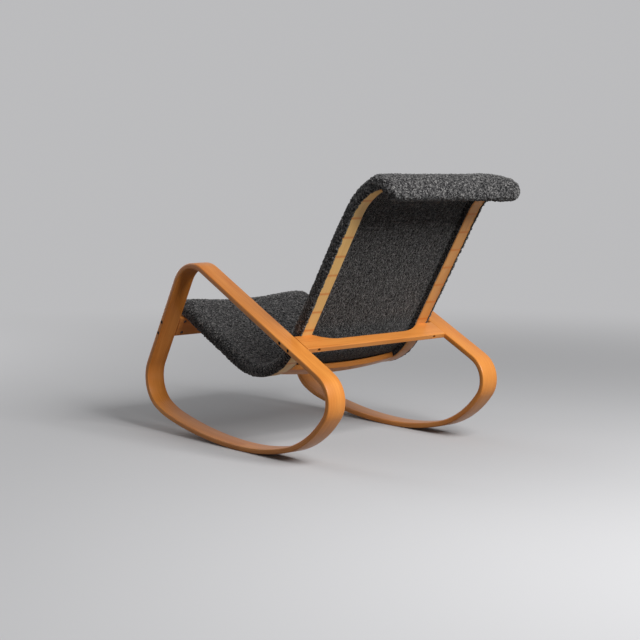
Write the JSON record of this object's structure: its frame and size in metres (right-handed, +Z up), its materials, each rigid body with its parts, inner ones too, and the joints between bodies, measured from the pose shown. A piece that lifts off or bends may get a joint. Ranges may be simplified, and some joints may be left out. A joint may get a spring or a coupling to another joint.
{
  "type": "bentwood rocking chair",
  "caption": "Rocking chair with closed bentwood side loops as rockers and armrests, and an S-shaped upholstered seat hung between them.",
  "frame": {"origin": "middle of the floor rectangle that the chair's bounding box covers, at floor level", "axes": "+X to the sitter's left, +Y to the rear, +Z up"},
  "size_m": [0.66, 0.9979, 0.7837],
  "materials": {
    "loop_wood": "satin lacquer",
    "rail_wood": "satin lacquer",
    "dowel_wood": "raw",
    "black_steel": "black oxide",
    "zinc_steel": "zinc",
    "webbing": "woven",
    "lining_cloth": "plain weave",
    "foam": "open-cell foam",
    "cover_fabric": "looped wool weave"
  },
  "bodies": {
    "root": {"barrel_nuts": "zinc_steel", "bowed_stretcher": "rail_wood", "fabric_cover": "cover_fabric", "foam_pad": "foam", "frame_bolts": "black_steel", "front_crossbar": "loop_wood", "rail_screws": "black_steel", "rear_crossbar": "loop_wood", "rear_lining": "lining_cloth", "seat_rail_left": "rail_wood", "seat_rail_right": "rail_wood", "side_loop_left": "loop_wood", "side_loop_right": "loop_wood", "stretcher_dowels": "dowel_wood", "webbing_strap_01": "webbing", "webbing_strap_02": "webbing", "webbing_strap_03": "webbing", "webbing_strap_04": "webbing", "webbing_strap_05": "webbing", "webbing_strap_06": "webbing", "webbing_strap_07": "webbing", "webbing_strap_08": "webbing", "webbing_strap_09": "webbing", "webbing_strap_10": "webbing", "webbing_strap_11": "webbing", "webbing_strap_12": "webbing", "webbing_strap_13": "webbing", "webbing_strap_14": "webbing", "webbing_strap_15": "webbing", "webbing_strap_16": "webbing", "webbing_strap_17": "webbing", "webbing_strap_18": "webbing", "webbing_strap_19": "webbing", "webbing_strap_20": "webbing"}
  },
  "joints": []
}
